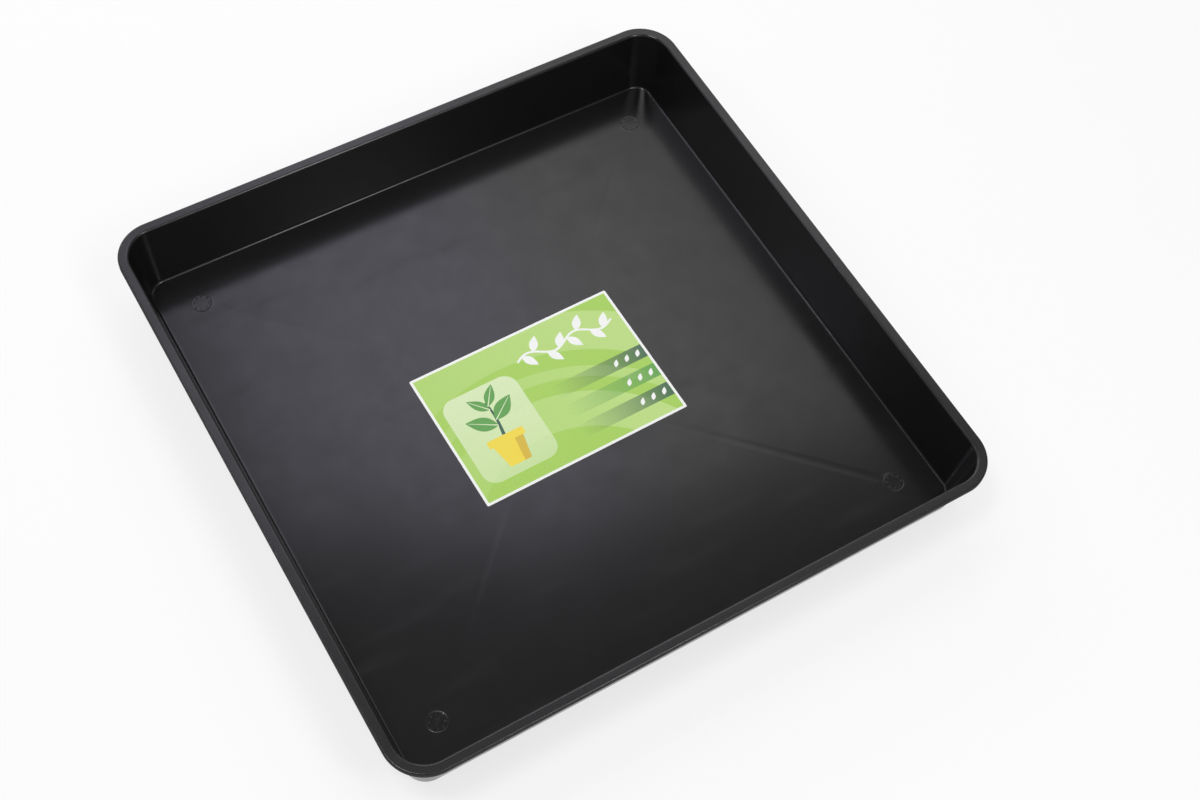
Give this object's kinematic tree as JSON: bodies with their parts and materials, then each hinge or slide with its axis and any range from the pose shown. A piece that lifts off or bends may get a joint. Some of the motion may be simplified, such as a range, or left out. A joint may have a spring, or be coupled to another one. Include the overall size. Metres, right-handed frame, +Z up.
{
  "type": "potting tray",
  "caption": "Low square potting tray with drafted walls, rounded corners and a turned-down rim, with a printed label on its floor; it holds soil and pots and catches water.",
  "frame": {"origin": "on the ground under the middle of the tray, at the level of its flat underside", "axes": "+Z up, +X along the length of the label and parallel to a side of the tray, +Y towards the label's top edge"},
  "size_m": [0.6, 0.6, 0.072],
  "materials": {
    "moulded_shell": "black polypropylene, satin as moulded",
    "printed_label": "printed film with a white border, slight gloss"
  },
  "bodies": {
    "root": {"tray": "moulded_shell", "label": "printed_label"}
  },
  "joints": []
}
